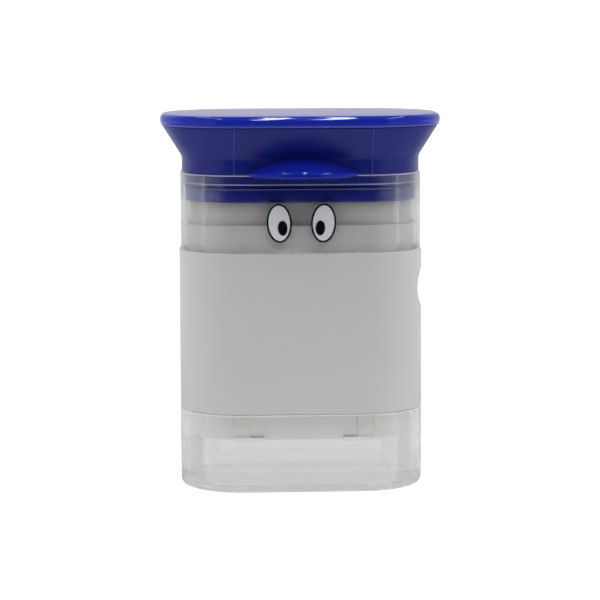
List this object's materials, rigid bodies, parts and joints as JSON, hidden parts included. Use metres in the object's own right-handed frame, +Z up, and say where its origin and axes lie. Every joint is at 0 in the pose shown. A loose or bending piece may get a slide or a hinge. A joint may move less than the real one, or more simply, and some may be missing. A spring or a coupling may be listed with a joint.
{
  "type": "pill crusher",
  "caption": "Palm-press pill crusher with a rounded rectangular barrel, cap-shaped press and plunger, clear cover with printed eyes and a clear storage cup.",
  "frame": {"origin": "centre of the flat underside of the storage cup", "axes": "+Z up along the press stroke, -Y out of the face with the eyes and the peak, +X to the viewer's right when facing it"},
  "size_m": [0.0694, 0.0485, 0.0928],
  "materials": {
    "clear_cup_plastic": "clear moulded plastic, polished",
    "white_plastic": "white moulded plastic, low gloss",
    "floor_plastic": "white moulded plastic",
    "clear_cover_plastic": "clear moulded plastic, polished",
    "white_print": "white pad print",
    "black_print": "black pad print",
    "blue_plastic": "deep blue moulded plastic, glossy",
    "blue_disc_plastic": "deep blue moulded plastic, glossy",
    "seal_silicone": "translucent silicone",
    "plunger_plastic": "off-white moulded plastic",
    "plate_plastic": "off-white moulded plastic",
    "screw_steel": "zinc-plated steel"
  },
  "bodies": {
    "cup": {"base_cup": "clear_cup_plastic"},
    "barrel_body": {"barrel": "white_plastic", "crush_floor": "floor_plastic"},
    "cover": {"clear_cover": "clear_cover_plastic", "eye_left_white": "white_print", "eye_left_ink": "black_print", "eye_right_white": "white_print", "eye_right_ink": "black_print"},
    "press": {"press_cap": "blue_plastic", "top_disc": "blue_disc_plastic", "seal_ring": "seal_silicone", "plunger": "plunger_plastic", "crush_plate": "plate_plastic", "plunger_screws": "screw_steel"}
  },
  "joints": [
    {"name": "barrel_lift", "type": "slide", "parent": "cup", "child": "barrel_body", "axis": [0, 0, 1], "range_m": [0, 0.012]},
    {"name": "cover_lift", "type": "slide", "parent": "barrel_body", "child": "cover", "axis": [0, 0, 1], "range_m": [0, 0.044]},
    {"name": "cap_lift", "type": "slide", "parent": "cover", "child": "press", "axis": [0, 0, 1], "range_m": [0, 0.057]}
  ]
}
